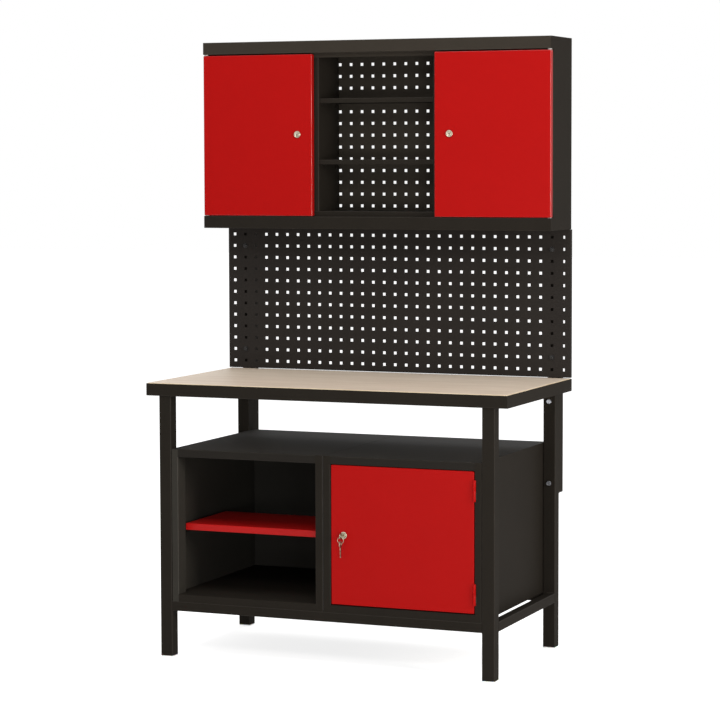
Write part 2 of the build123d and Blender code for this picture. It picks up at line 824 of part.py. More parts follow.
def key_ring():
    """A wire ring hanging through the hole of the key's bow."""
    wire = Torus((ring_diameter - ring_wire) / 2, ring_wire / 2)
    return Pos(base_lock_x, ring_y, ring_z) * Rot(90, 0, 0) * wire


def spare_key():
    """The second key, hanging from the bottom of the ring."""
    bow = Circle(bow_width / 2)
    blade = Pos(0, -spare_length / 2) * Rectangle(key_blade_height, spare_length)
    flat = Plane.YZ * (bow + blade - Circle(bow_hole / 2))
    return Pos(base_lock_x - key_thickness / 2, ring_y, spare_z) * extrude(flat, amount=key_thickness)


def save(name, parts):
    """Writes one node's solids."""
    solids = parts if isinstance(parts, list) else [parts]
    shapes = [solid for part in solids for solid in part.solids()]
    export_step(Compound(children=shapes), os.path.join("parts", name + ".step"))


SIDES = (("left", -1), ("right", 1))


def build():
    os.makedirs("parts", exist_ok=True)
    nodes = {
        "foot_glides": foot_glides(),
        "rail_front": cross_rail(front_leg_y - (leg_size - rail_size) / 2),
        "rail_rear": cross_rail(rear_leg_y + (leg_size - rail_size) / 2),
        "worktop_board": worktop_board(),
        "worktop_edge_front": long_edge(y_front, 1),
        "worktop_edge_rear": long_edge(y_rear, -1),
        "worktop_straps": worktop_straps(),
        "upright_caps": upright_caps(),
        "upright_bolts": upright_bolts(),
        "perforated_panel": perforated_sheet(worktop_width, panel_height, panel_bottom),
        "panel_screws": panel_screws(),
        "wall_cabinet_back": wall_back(),
        "wall_cabinet_top": wall_top(),
        "wall_cabinet_bottom": wall_bottom(),
        "wall_shelf_lower": centre_shelf(centre_shelf_heights[0]),
        "wall_shelf_upper": centre_shelf(centre_shelf_heights[1]),
        "wall_shelf_clips": wall_shelf_clips(),
        "wall_door_pivot_pins": pivot_pins(),
        "wall_door_pivot_washers": pivot_washers(),
        "base_cabinet_back": base_back(),
        "base_shelf": base_shelf(),
        "base_shelf_brackets": base_shelf_brackets(),
        "base_door": base_door(),
        "base_hinge_barrels": hinge_barrels(),
        "base_hinge_pins": hinge_pins(),
        "base_lock_body": lock_body(base_lock_x, base_lock_z, base_y),
        "base_lock_plug": lock_plug(base_lock_x, base_lock_z, base_y),
        "key": inserted_key(),
        "key_ring": key_ring(),
        "spare_key": spare_key(),
    }
    for name, side in SIDES:
        nodes["leg_front_" + name] = front_leg(side)
        nodes["leg_rear_" + name] = rear_leg(side)
        nodes["rail_" + name] = side_rail(side)
        nodes["worktop_edge_" + name] = short_edge(side)
        nodes["upright_" + name] = upright(side)
        nodes["wall_cabinet_side_" + name] = wall_side(side)
        nodes["wall_divider_" + name] = wall_divider(side)
        nodes["wall_side_shelf_" + name] = side_shelf(side)
        nodes["wall_door_" + name] = wall_door(side)
        nodes["wall_lock_body_" + name] = lock_body(side * wall_lock_x, wall_lock_height, cabinet_y)
        nodes["wall_lock_plug_" + name] = lock_plug(side * wall_lock_x, wall_lock_height, cabinet_y)
        nodes["base_top_" + name] = base_top(side)
        nodes["base_side_" + name] = base_side(side)
        nodes["base_divider_" + name] = base_divider(side)
        nodes["base_bottom_" + name] = base_bottom(side)
    for name, parts in nodes.items():
        save(name, parts)


build()
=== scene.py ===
import json
import math

import bmesh
import bpy
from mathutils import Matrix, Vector


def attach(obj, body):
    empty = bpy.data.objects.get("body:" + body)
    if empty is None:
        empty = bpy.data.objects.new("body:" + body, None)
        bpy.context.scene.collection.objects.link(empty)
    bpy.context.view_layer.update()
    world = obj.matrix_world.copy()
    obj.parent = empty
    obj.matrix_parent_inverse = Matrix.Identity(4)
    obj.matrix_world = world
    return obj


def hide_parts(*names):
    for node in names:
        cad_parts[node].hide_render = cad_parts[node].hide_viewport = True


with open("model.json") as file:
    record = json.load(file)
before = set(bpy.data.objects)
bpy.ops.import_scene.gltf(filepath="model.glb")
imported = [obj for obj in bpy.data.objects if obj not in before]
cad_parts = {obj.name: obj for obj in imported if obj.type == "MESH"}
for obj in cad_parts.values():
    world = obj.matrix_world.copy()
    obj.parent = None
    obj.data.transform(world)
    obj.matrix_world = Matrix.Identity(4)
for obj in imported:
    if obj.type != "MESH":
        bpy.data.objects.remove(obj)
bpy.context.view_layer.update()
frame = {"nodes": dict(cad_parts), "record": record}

nodes = frame["nodes"]
record = frame["record"]
scene = bpy.context.scene
MM = 0.001

# ---- Procedural materials --------------------------------------------------------------


def new_material(name):
    """An empty node material with its Principled shader and object coordinates."""
    material = bpy.data.materials.new(name)
    material.use_nodes = True
    tree = material.node_tree
    shader = tree.nodes["Principled BSDF"]
    coords = tree.nodes.new("ShaderNodeTexCoord")
    return material, tree, shader, coords.outputs["Object"]


def stretched(tree, vector, scale):
    """Coordinates scaled differently along each axis."""
    mapping = tree.nodes.new("ShaderNodeMapping")
    mapping.inputs["Scale"].default_value = scale
    tree.links.new(vector, mapping.inputs["Vector"])
    return mapping.outputs["Vector"]


def noise(tree, vector, scale, detail=3.0, rough=0.5, distortion=0.0):
    """A noise texture's value."""
    texture = tree.nodes.new("ShaderNodeTexNoise")
    texture.inputs["Scale"].default_value = scale
    texture.inputs["Detail"].default_value = detail
    texture.inputs["Roughness"].default_value = rough
    texture.inputs["Distortion"].default_value = distortion
    tree.links.new(vector, texture.inputs["Vector"])
    return texture.outputs["Fac"]


def ramp(tree, value, stops):
    """A colour ramp: stops are (position, colour)."""
    node = tree.nodes.new("ShaderNodeValToRGB")
    elements = node.color_ramp.elements
    while len(elements) < len(stops):
        elements.new(0.5)
    for element, (position, colour) in zip(elements, stops):
        element.position = position
        element.color = (*colour, 1.0)
    tree.links.new(value, node.inputs["Fac"])
    return node.outputs["Color"]


def spread(tree, value, low, high, from_low=0.3, from_high=0.7):
    """A texture value moved into the range low to high."""
    node = tree.nodes.new("ShaderNodeMapRange")
    node.inputs["From Min"].default_value = from_low
    node.inputs["From Max"].default_value = from_high
    node.inputs["To Min"].default_value = low
    node.inputs["To Max"].default_value = high
    tree.links.new(value, node.inputs["Value"])
    return node.outputs["Result"]


def blend_colours(tree, factor, one, two):
    """Colour one turning into colour two as the factor goes from 0 to 1."""
    node = tree.nodes.new("ShaderNodeMix")
    node.data_type = "RGBA"
    factor_in, one_in, two_in = node.inputs[0], node.inputs[6], node.inputs[7]
    for socket, value in ((factor_in, factor), (one_in, one), (two_in, two)):
        if isinstance(value, bpy.types.NodeSocket):
            tree.links.new(value, socket)
        elif isinstance(value, tuple):
            socket.default_value = (*value, 1.0)
        else:
            socket.default_value = value
    return node.outputs[2]


def add_bump(tree, shader, height, strength, distance):
    """Fine relief of the surface, distance in metres."""
    node = tree.nodes.new("ShaderNodeBump")
    node.inputs["Strength"].default_value = strength
    node.inputs["Distance"].default_value = distance
    tree.links.new(height, node.inputs["Height"])
    tree.links.new(node.outputs["Normal"], shader.inputs["Normal"])


def tone(colour, factor):
    """The colour made lighter or darker."""
    return tuple(channel * factor for channel in colour)


def larger(tree, one, two):
    """The larger of two values."""
    node = tree.nodes.new("ShaderNodeMath")
    node.operation = "MAXIMUM"
    tree.links.new(one, node.inputs[0])
    tree.links.new(two, node.inputs[1])
    return node.outputs[0]


def facing(tree):
    """The three parts of the surface's direction, in the piece's own axes."""
    coords = tree.nodes.new("ShaderNodeTexCoord")
    parts = tree.nodes.new("ShaderNodeSeparateXYZ")
    tree.links.new(coords.outputs["Normal"], parts.inputs[0])
    return parts.outputs


def fold_mask(tree):
    """1 on bent or rounded metal, 0 on the flats, which face along an axis."""
    sizes = []
    for part in facing(tree):
        size = tree.nodes.new("ShaderNodeMath")
        size.operation = "ABSOLUTE"
        tree.links.new(part, size.inputs[0])
        sizes.append(size.outputs[0])
    largest = larger(tree, larger(tree, sizes[0], sizes[1]), sizes[2])
    return spread(tree, largest, 1.0, 0.0, 0.93, 0.995)


def powder_coat(name, colour, finish, variation=0.05, peel=0.12, fold_wear_and_sheen=1.6):
    """Powder-coated sheet: slight clouding, fine orange peel, darker specks, and folds lightened in
    patches, partly wear and partly a painted highlight.

    finish is (roughness, specular level, gloss coat on the folds, roughness of that coat).
    variation is the clouding's share, peel the relief's strength, fold_wear_and_sheen the tone of
    the folds that are lightened as wear and as a painted highlight.
    """
    material, tree, shader, coords = new_material(name)
    clouds = noise(tree, coords, 9.0, 4.0, 0.6)
    base = ramp(tree, clouds, [(0.3, tone(colour, 1 - variation)),
                               (0.7, tone(colour, 1 + variation))])
    grains = noise(tree, coords, 700.0, 2.0, 0.5)
    speckle = spread(tree, grains, 0.0, 0.35, 0.62, 0.80)
    tinted = blend_colours(tree, speckle, base, tone(colour, 0.55))
    folds = fold_mask(tree)
    # Folds lightened in noise patches: partly wear, partly a painted highlight along the bent
    # edges.
    patches = spread(tree, noise(tree, coords, 60.0, 3.0), 0.2, 0.8)
    fold_wear_and_sheen_mask = blend_colours(tree, folds, (0.0, 0.0, 0.0), (1.0, 1.0, 1.0))
    wear_and_sheen_share = blend_colours(tree, patches, (0.0, 0.0, 0.0), fold_wear_and_sheen_mask)
    worn_and_painted_lit_folds = blend_colours(tree, wear_and_sheen_share, tinted, tone(colour, fold_wear_and_sheen))
    tree.links.new(worn_and_painted_lit_folds, shader.inputs["Base Color"])
    peel_height = noise(tree, coords, 420.0, 2.0, 0.55)
    add_bump(tree, shader, peel_height, peel, 0.0004)
    roughness, specular, fold_coat, coat_roughness = finish
    shader.inputs["Roughness"].default_value = roughness
    shader.inputs["Specular IOR Level"].default_value = specular
    shader.inputs["Coat Roughness"].default_value = coat_roughness
    if fold_coat:
        tree.links.new(spread(tree, folds, 0.0, fold_coat, 0.0, 1.0), shader.inputs["Coat Weight"])
    return material


def board_laminate(name):
    """Beige board: soft streaks along its length, short fibres, faint clouding and raw edges."""
    material, tree, shader, coords = new_material(name)
    streaks = noise(tree, stretched(tree, coords, (3.0, 26.0, 26.0)), 1.0, 6.0, 0.62, 0.6)
    fibres = noise(tree, stretched(tree, coords, (60.0, 900.0, 900.0)), 1.0, 3.0, 0.6)
    clouds = noise(tree, coords, 5.0, 3.0, 0.5, 0.8)
    base = ramp(tree, streaks, [(0.28, (0.620, 0.500, 0.385)), (0.5, (0.705, 0.590, 0.468)),
                                (0.72, (0.770, 0.655, 0.535))])
    fibre_share = spread(tree, fibres, 0.0, 0.45, 0.56, 0.75)
    tinted = blend_colours(tree, fibre_share, base, (0.520, 0.405, 0.295))
    soft = blend_colours(tree, spread(tree, clouds, 0.0, 0.30), tinted, (0.740, 0.622, 0.500))
    plies = noise(tree, stretched(tree, coords, (6.0, 6.0, 520.0)), 1.0, 2.0, 0.5, 0.2)
    raw = ramp(tree, plies, [(0.35, (0.660, 0.520, 0.330)), (0.65, (0.850, 0.720, 0.520))])
    _, _, upward = facing(tree)
    raw_share = spread(tree, upward, 1.0, 0.0, 0.75, 0.97)
    dressed = blend_colours(tree, raw_share, soft, raw)
    tree.links.new(dressed, shader.inputs["Base Color"])
    tree.links.new(spread(tree, fibres, 0.42, 0.56), shader.inputs["Roughness"])
    add_bump(tree, shader, fibres, 0.10, 0.0003)
    shader.inputs["Specular IOR Level"].default_value = 0.35
    return material


def plated_metal(name, colour, roughness, streak=(1.0, 1.0, 1.0), variation=0.10):
    """Bright metal with fine brushing, finer along the axes where streak is larger, and mottling:
    tarnish, and where variation is large, as on the chrome, also a painted reflection.
    """
    material, tree, shader, coords = new_material(name)
    brush = noise(tree, stretched(tree, coords, tuple(900.0 * s for s in streak)), 1.0, 3.0, 0.6)
    # Mottling of the colour: tarnish, and with a large variation also a painted reflection.
    tarnish_and_painted_reflection = noise(tree, coords, 120.0, 4.0, 0.6)
    base = ramp(tree, tarnish_and_painted_reflection, [(0.3, tone(colour, 1 - variation)),
                              (0.7, tone(colour, 1 + variation / 2))])
    tree.links.new(base, shader.inputs["Base Color"])
    shader.inputs["Metallic"].default_value = 1.0
    polish = spread(tree, brush, roughness * 0.8, roughness * 1.3)
    tree.links.new(polish, shader.inputs["Roughness"])
    add_bump(tree, shader, brush, 0.05, 0.0001)
    return material


def moulded_plastic(name, colour, roughness, specular=0.4, subsurface=0.0):
    """Moulded plastic with a fine grain."""
    material, tree, shader, coords = new_material(name)
    clouds = noise(tree, coords, 60.0, 3.0, 0.5)
    base = ramp(tree, clouds, [(0.3, tone(colour, 0.9)), (0.7, tone(colour, 1.06))])
    tree.links.new(base, shader.inputs["Base Color"])
    grain = noise(tree, coords, 1500.0, 2.0, 0.5)
    add_bump(tree, shader, grain, 0.10, 0.0002)
    polish = spread(tree, clouds, roughness - 0.04, roughness + 0.06)
    tree.links.new(polish, shader.inputs["Roughness"])
    shader.inputs["Specular IOR Level"].default_value = specular
    shader.inputs["Subsurface Weight"].default_value = subsurface
    shader.inputs["Subsurface Scale"].default_value = 0.002
    return material


BLACK = (0.0148, 0.0124, 0.0097)
RED = (0.322, 0.0040, 0.0035)

# Roughness, specular level, gloss coat on the folds, roughness of that coat
MATT = (0.72, 0.035, 0.12, 0.45)
TOP_MATT = (0.76, 0.085, 0.08, 0.45)
GLOSS = (0.30, 0.05, 0.70, 0.07)
SATIN = (0.32, 0.05, 0.0, 0.3)
SHELF_SATIN = (0.34, 0.16, 0.0, 0.3)
RED_COAT = {"variation": 0.012, "peel": 0.03}

finishes = {
    "black_paint": powder_coat("black_paint", BLACK, MATT),
    "red_paint": powder_coat("red_paint", RED, GLOSS, **RED_COAT, fold_wear_and_sheen=1.0),
    "worktop_laminate": board_laminate("worktop_laminate"),
    "glide_plastic": moulded_plastic("glide_plastic", (0.72, 0.72, 0.70), 0.30, 0.5, 0.3),
    "black_plastic": moulded_plastic("black_plastic", (0.020, 0.020, 0.020), 0.50),
    "pale_plastic": moulded_plastic("pale_plastic", (0.40, 0.39, 0.37), 0.42),
    "zinc_steel": plated_metal("zinc_steel", (0.36, 0.37, 0.40), 0.34),
    "dark_steel": plated_metal("dark_steel", (0.035, 0.034, 0.033), 0.42),
    # The chrome's strong mottling is partly a painted reflection of dark surroundings; the rest is
    # tarnish.
    "chrome": plated_metal("chrome", (0.42, 0.38, 0.29), 0.26, (1.0, 0.2, 1.0), 0.35),
    "key_steel": plated_metal("key_steel", (0.30, 0.265, 0.195), 0.30, (1.0, 0.1, 1.0), 0.2),
}

# Pieces with their own copy of the paint. The lighter blacks on the wall cabinet's top and back,
# and on the base cabinet's back and left side, are painted light: lit copies that stand in for
# light on the top rail and in the shaded bays. The others differ a little in tone or finish.
base_top = powder_coat("black_base_top", (0.0122, 0.0104, 0.0084), TOP_MATT)
red_satin = powder_coat("red_satin", RED, SATIN, **RED_COAT, fold_wear_and_sheen=1.02)
own_finish = {
    "base_door": red_satin,
    "base_hinge_barrels": red_satin,
    "base_hinge_pins": red_satin,
    "base_top_left": base_top,
    "base_top_right": base_top,
    "base_shelf": powder_coat("red_shelf", tone(RED, 1.1), SHELF_SATIN, **RED_COAT, fold_wear_and_sheen=1.02),
    # Lighter copy of the black: painted light on the top rail.
    "wall_cabinet_top": powder_coat("black_top_painted_light", tone(BLACK, 2.05), MATT),
    # Lighter copy of the black: painted light on the back inside the shaded open bay.
    "wall_cabinet_back": powder_coat("black_back_painted_light", tone(BLACK, 2.75), MATT),
    "perforated_panel": powder_coat("black_panel", (0.0211, 0.0183, 0.0163), MATT),
    # Lighter copy of the black: painted light on the back inside the shaded base bay.
    "base_cabinet_back": powder_coat("black_inside_painted_light", (0.0270, 0.0250, 0.0215), MATT),
    # Lighter copy of the black: painted light on the base bay's shaded left wall.
    "base_side_left": powder_coat("black_base_side_painted_light", (0.0300, 0.0275, 0.0230), MATT),
}
for part in record["subparts"]:
    node = nodes[part["node"]]
    node.data.materials.clear()
    node.data.materials.append(own_finish.get(part["node"], finishes[part["material_slot"]]))

# ---- Softened edges of the CAD pieces --------------------------------------------------


def soften(names, width, segments=2):
    """Small rounded edges, width in metres, made without touching the CAD mesh."""
    for name in names:
        weld = nodes[name].modifiers.new("joined", "WELD")
        weld.merge_threshold = 0.00001
        bevel = nodes[name].modifiers.new("soft_edges", "BEVEL")
        bevel.width = width
        bevel.segments = segments
        bevel.limit_method = "ANGLE"
        bevel.angle_limit = math.radians(40)
        bevel.use_clamp_overlap = True
        bevel.harden_normals = True


soften(("worktop_board",), 0.0008)
soften(("foot_glides", "upright_caps"), 0.0010)
soften(("upright_bolts", "panel_screws"), 0.0005)
soften(("wall_lock_body_left", "wall_lock_body_right", "base_lock_body"), 0.0005)
soften(("base_hinge_barrels", "base_hinge_pins"), 0.0005)
soften(("base_shelf_brackets", "wall_shelf_clips", "worktop_straps"), 0.0003, 1)

# ---- Building blocks of the detail pieces ----------------------------------------------


def point(*millimetres):
    """A place given in millimetres."""
    return Vector(millimetres) * MM


def add_piece(name, mesh, body, slot, crease=35):
    """Turns a finished bmesh into an object that rides on a body.

    crease is the angle in degrees from which an edge stays sharp.
    """
    bmesh.ops.recalc_face_normals(mesh, faces=mesh.faces)
    data = bpy.data.meshes.new(name)
    mesh.to_mesh(data)
    mesh.free()
    data.shade_smooth()
    data.set_sharp_from_angle(angle=math.radians(crease))
    data.materials.append(finishes[slot])
    piece = bpy.data.objects.new(name, data)
    scene.collection.objects.link(piece)
    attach(piece, body)
    return piece


def skin(mesh, rings, capped=True):
    """Faces between neighbouring rings of vertices, and over both ends."""
    for low, high in zip(rings, rings[1:]):
        count = len(low)
        for i in range(count):
            j = (i + 1) % count
            mesh.faces.new((low[i], low[j], high[j], high[i]))
    if capped:
        mesh.faces.new(list(reversed(rings[0])))
        mesh.faces.new(rings[-1])


def turned(mesh, centre, axis, profile, steps=32, capped=True):
    """A turned form from rows of (radius, height, corners) in millimetres.

    corners is 0 for a circle, or 6 for a hexagon with that radius at its corners.
    """
    up = Vector(axis).normalized()
    side = up.orthogonal().normalized()
    other = up.cross(side)
    rings = []
    for radius, height, corners in profile:
        ring = []
        for i in range(steps):
            angle = 2 * math.pi * i / steps
            reach = radius
            if corners:
                sector = math.pi / corners
                reach *= math.cos(sector) / math.cos(angle % (2 * sector) - sector)
            away = math.cos(angle) * side + math.sin(angle) * other
            ring.append(mesh.verts.new(centre + MM * (reach * away + height * up)))
        rings.append(ring)
    skin(mesh, rings, capped=capped)


BEAD_STEP = 0.8     # millimetres between two rings of a bead
# A bead's section as (degrees, share of its size)
BEAD_SECTION = ((0, 1.0), (22.5, 0.80), (45, 0.72), (67.5, 0.80), (90, 1.0))


def weld_bead(mesh, start, end, along_one, along_two, size=3.0, ripple=2.4):
    """A rippled fillet weld in the corner between two faces that point along the two directions."""
    one, two = Vector(along_one), Vector(along_two)
    length = (end - start).length
    count = max(6, round(length / MM / BEAD_STEP))
    rings = []
    for i in range(count + 1):
        share = i / count
        swell = 1 + 0.10 * math.cos(2 * math.pi * share * length / MM / ripple)
        swell *= 0.45 + 0.55 * min(1.0, 6 * share, 6 * (1 - share))
        spot = start.lerp(end, share)
        ring = [mesh.verts.new(spot - MM * 0.2 * (one + two))]
        for turn, bulge in BEAD_SECTION:
            angle = math.radians(turn)
            away = math.cos(angle) * one + math.sin(angle) * two
            ring.append(mesh.verts.new(spot + MM * size * swell * bulge * away))
        rings.append(ring)
    skin(mesh, rings)


def ellipse_points(centre, half_y, half_z, start, stop, count):
    """Points of an ellipse in the YZ plane, angles in degrees from +Y towards +Z."""
    found = []
    for i in range(count + 1):
        angle = math.radians(start + (stop - start) * i / count)
        found.append((centre[0] + half_y * math.cos(angle), centre[1] + half_z * math.sin(angle)))
    return found


def flat_key(mesh, outline, hole, x_middle, thickness, edge=0.25):
    """A key cut from plate in the YZ plane, with chamfered edges round its outline and its hole."""
    half = thickness / 2
    levels = ((-half, edge), (-half + edge, 0.0), (half - edge, 0.0), (half, edge))
    rows = []
    for loop, grow in ((outline, -1), (hole, 1)):
        centre = Vector((sum(p[0] for p in loop), sum(p[1] for p in loop))) / len(loop)
        rings = []
        for offset, inset in levels:
            ring = []
            for y, z in loop:
                away = (Vector((y, z)) - centre).normalized() * inset * grow
                ring.append(mesh.verts.new(point(x_middle + offset, y + away.x, z + away.y)))
            rings.append(ring)
        skin(mesh, rings, capped=False)
        rows.append(rings)
    for level in (0, -1):
        edges = []
        for rings in rows:
            ring = rings[level]
            for one, two in zip(ring, ring[1:] + ring[:1]):
                edges.append(mesh.edges.get((one, two)))
        bmesh.ops.triangle_fill(mesh, use_beauty=True, edges=edges)


# ---- Places on the CAD pieces, in millimetres --------------------------------------------
LEG, RAIL = 40.0, 30.0                  # widths of the tubes
LEG_INNER = 512.0                       # inner faces of the legs
LEG_FRONT, LEG_REAR = -308.9, 303.1     # front and rear faces of the legs
RAIL_LOW, RAIL_HIGH = 146.0, 176.0
TUBE_CORNER = 2.5                       # a bead ends this far from a tube's edge
UNDERSIDE = 817.0                       # of the worktop's edge angles and straps
COLUMN = 532.0                          # middle of the legs and uprights
BASE_FRONT, BASE_REAR = -307.9, 302.1   # outer faces of the base cabinet
HINGE = (488.4, -309.4)                 # axis of the base door
HINGE_RADIUS = 5.0
HINGE_HEIGHTS = (258.7, 568.8)          # where the two halves of each hinge meet
SCREW_FACE = 283.6                      # of the panel screws' heads
SCREW_HEIGHTS = (921.7, 1263.7, 1397.0, 1853.0)
BOLT_HEAD, BOLT_NUT = 256.2, 311.4      # outer faces of the bolts' heads and nuts
BOLT_HEIGHTS = (526.0, 785.0)
STOP_FACE = 121.6                       # of the stops behind the wall doors
WALL_LOCK = (258.3, 94.1, 1627.0)       # collar's face, of the right door
BASE_LOCK = (68.5, -310.9, 414.0)
PLUG_PROUD = 1.2                        # plug past the collar
KEY_X = BASE_LOCK[0]
KEY_THICKNESS = 2.0
RING_Y = -333.1                         # middle of the ring and of the holes it hangs in
KEY_HOLE = 4.0                          # radius of the hole in a key's bow

# ---- Welds -----------------------------------------------------------------------------


def rail_welds():
    """Beads round the ends of the four lower rails."""
    mesh = bmesh.new()
    low, high = RAIL_LOW + TUBE_CORNER, RAIL_HIGH - TUBE_CORNER
    for side in (-1, 1):
        inward = (-side, 0, 0)
        inner_face = side * LEG_INNER
        rail_outer = side * (LEG_INNER + LEG)
        rail_inner = side * (LEG_INNER + LEG - RAIL)
        for face, depth in ((LEG_FRONT, 1), (LEG_REAR, -1)):
            near = face + depth * TUBE_CORNER
            far = face + depth * (RAIL - TUBE_CORNER)
            for z, up in ((RAIL_HIGH, 1), (RAIL_LOW, -1)):
                weld_bead(mesh, point(inner_face, near, z), point(inner_face, far, z),
                          inward, (0, 0, up))
            back = face + depth * RAIL
            weld_bead(mesh, point(inner_face, back, low), point(inner_face, back, high),
                      inward, (0, depth, 0))
        for y, depth in ((LEG_FRONT + LEG, 1), (LEG_REAR - LEG, -1)):
            away = (0, depth, 0)
            for z, up in ((RAIL_HIGH, 1), (RAIL_LOW, -1)):
                weld_bead(mesh, point(rail_outer - side * TUBE_CORNER, y, z),
                          point(rail_inner + side * TUBE_CORNER, y, z), away, (0, 0, up))
            weld_bead(mesh, point(rail_inner, y, low), point(rail_inner, y, high), away, inward)
    add_piece("rail_welds", mesh, "bench", "black_paint")


def worktop_welds():
    """Beads where the legs meet the worktop's edge angles."""
    mesh = bmesh.new()
    down = (0, 0, -1)
    for side in (-1, 1):
        inner_face = side * LEG_INNER
        near_x = side * (LEG_INNER + TUBE_CORNER)
        far_x = side * (LEG_INNER + LEG - TUBE_CORNER)
        for y in (LEG_FRONT, LEG_REAR - LEG):
            for edge, depth in ((y, -1), (y + LEG, 1)):
                if LEG_FRONT < edge < LEG_REAR:
                    weld_bead(mesh, point(near_x, edge, UNDERSIDE), point(far_x, edge, UNDERSIDE),
                              (0, depth, 0), down)
            weld_bead(mesh, point(inner_face, y + TUBE_CORNER, UNDERSIDE),
                      point(inner_face, y + LEG - TUBE_CORNER, UNDERSIDE), (-side, 0, 0), down)
    add_piece("worktop_welds", mesh, "bench", "black_paint")


def hinge_welds():
    """Beads that hold the upper barrels on the door and the lower ones on the stile."""
    x, y = HINGE
    reach = math.sqrt(HINGE_RADIUS ** 2 - (BASE_FRONT - y) ** 2)
    on_door, on_stile = bmesh.new(), bmesh.new()
    for mesh, side, up in ((on_door, -1, 1), (on_stile, 1, -1)):
        for z in HINGE_HEIGHTS:
            low, high = sorted((z + up * 4, z + up * 28))
            weld_bead(mesh, point(x + side * reach, BASE_FRONT, low),
                      point(x + side * reach, BASE_FRONT, high), (side, 0, 0), (0, -1, 0), 2.0, 2.0)
    beads = add_piece("door_hinge_welds", on_door, "base_door", "red_paint")
    beads.data.materials[0] = red_satin
    add_piece("stile_hinge_welds", on_stile, "bench", "black_paint")


# ---- Fasteners: profiles are rows of (radius, height, corners) ---------------------------
SOCKET_HEAD = [(5.9, -0.2, 0), (5.9, 0.2, 0), (5.6, 0.8, 0), (4.9, 1.3, 0), (3.9, 1.6, 0),
               (3.2, 1.65, 0), (2.9, 1.6, 6), (2.8, 0.3, 6), (1.2, -0.1, 0), (0.2, -0.15, 0)]
HEAD_CROWN = [(7.5, -0.3, 6), (7.2, 0.0, 6), (6.4, 0.45, 0), (5.2, 0.55, 0), (4.9, 0.35, 0),
              (0.3, 0.30, 0)]
THREAD_PITCH, THREAD_TURNS = 1.25, 4
THREAD_ROOT, THREAD_DEPTH, THREAD_TIP = 3.35, 0.60, 3.0
ROWS_PER_TURN = 4


def panel_screw_heads():
    """Domed heads with a hexagon socket on the screws of both perforated panels."""
    mesh = bmesh.new()
    for side in (-1, 1):
        for z in SCREW_HEIGHTS:
            turned(mesh, point(side * COLUMN, SCREW_FACE, z), (0, -1, 0), SOCKET_HEAD, 36)
    add_piece("panel_screw_heads", mesh, "bench", "dark_steel", 30)


def strap_screws():
    """Domed socket screws that hold the board through its three straps."""
    mesh = bmesh.new()
    for x in (-300.0, 0.0, 300.0):
        for y in (-240.0, -6.0, 228.0):
            turned(mesh, point(x, y, UNDERSIDE), (0, 0, -1), SOCKET_HEAD, 36)
    add_piece("strap_screws", mesh, "bench", "zinc_steel", 30)


def bolt_ends():
    """Threaded ends that stand past the nuts behind the uprights."""
    mesh = bmesh.new()
    steps, last = 24, THREAD_TURNS * ROWS_PER_TURN
    for side in (-1, 1):
        for z in BOLT_HEIGHTS:
            rings = []
            for row in range(last + 1):
                height = row * THREAD_PITCH / ROWS_PER_TURN
                ring = []
                for i in range(steps):
                    phase = (height / THREAD_PITCH - i / steps) % 1.0
                    radius = THREAD_ROOT + THREAD_DEPTH * (1 - abs(2 * phase - 1))
                    if row == last:
                        radius = THREAD_TIP
                    angle = 2 * math.pi * i / steps
                    across, up = radius * math.cos(angle), radius * math.sin(angle)
                    spot = point(side * COLUMN + across, BOLT_NUT + height, z + up)
                    ring.append(mesh.verts.new(spot))
                rings.append(ring)
            skin(mesh, rings)
    add_piece("bolt_ends", mesh, "bench", "zinc_steel", 50)


def bolt_crowns():
    """The chamfered crown of each hexagon head, with its turned face."""
    mesh = bmesh.new()
    for side in (-1, 1):
        for z in BOLT_HEIGHTS:
            turned(mesh, point(side * COLUMN, BOLT_HEAD, z), (0, -1, 0), HEAD_CROWN, 48)
    add_piece("bolt_crowns", mesh, "bench", "zinc_steel", 25)


# ---- Locks and keys --------------------------------------------------------------------
LOCK_RIM = [(10.9, -0.2, 0), (10.9, 0.15, 0), (10.3, 0.75, 0), (9.3, 0.95, 0), (8.4, 0.75, 0),
            (7.6, 0.35, 0), (7.1, 0.45, 0), (6.7, 0.30, 0), (6.65, -0.2, 0)]
PLUG_FACE = [(6.3, -0.2, 0), (6.3, 0.10, 0), (5.8, 0.40, 0), (4.6, 0.45, 0), (4.2, 0.25, 0),
             (0.2, 0.22, 0)]
KEYWAY_HALF, KEYWAY_RADIUS = 3.1, 0.85  # of its straight part, and of its ends
WARD_CORNER, WARD_STEP = 13, 0.45       # the keyway's corner that the ward moves, and how far
RIM_SECTION = ((-0.55, -0.1), (-0.25, 0.28), (0.25, 0.28), (0.55, -0.1))   # outwards, height
BLADE_CUTS = (0.0, 1.5, 0.8, 1.9, 0.6, 1.4, 2.0, 1.0)                      # depths


def keyway_shade(mesh, x, y, z):
    """A dark pill with a ward step on the plug's face, drawn as the key slot: painted shade of the
    opening.
    """
    pill = []
    for centre, start in ((KEYWAY_HALF, 0.0), (-KEYWAY_HALF, math.pi)):
        for i in range(9):
            angle = start + math.pi * i / 8
            pill.append((KEYWAY_RADIUS * math.cos(angle), centre + KEYWAY_RADIUS * math.sin(angle)))
    across, up = pill[WARD_CORNER]
    pill[WARD_CORNER] = (across + WARD_STEP, up)
    rings = []
    for height, shrink in ((-0.2, 1.0), (0.12, 1.0), (0.20, 0.8)):
        rings.append([mesh.verts.new(point(x + a * shrink, y - height, z + b)) for a, b in pill])
    skin(mesh, rings)


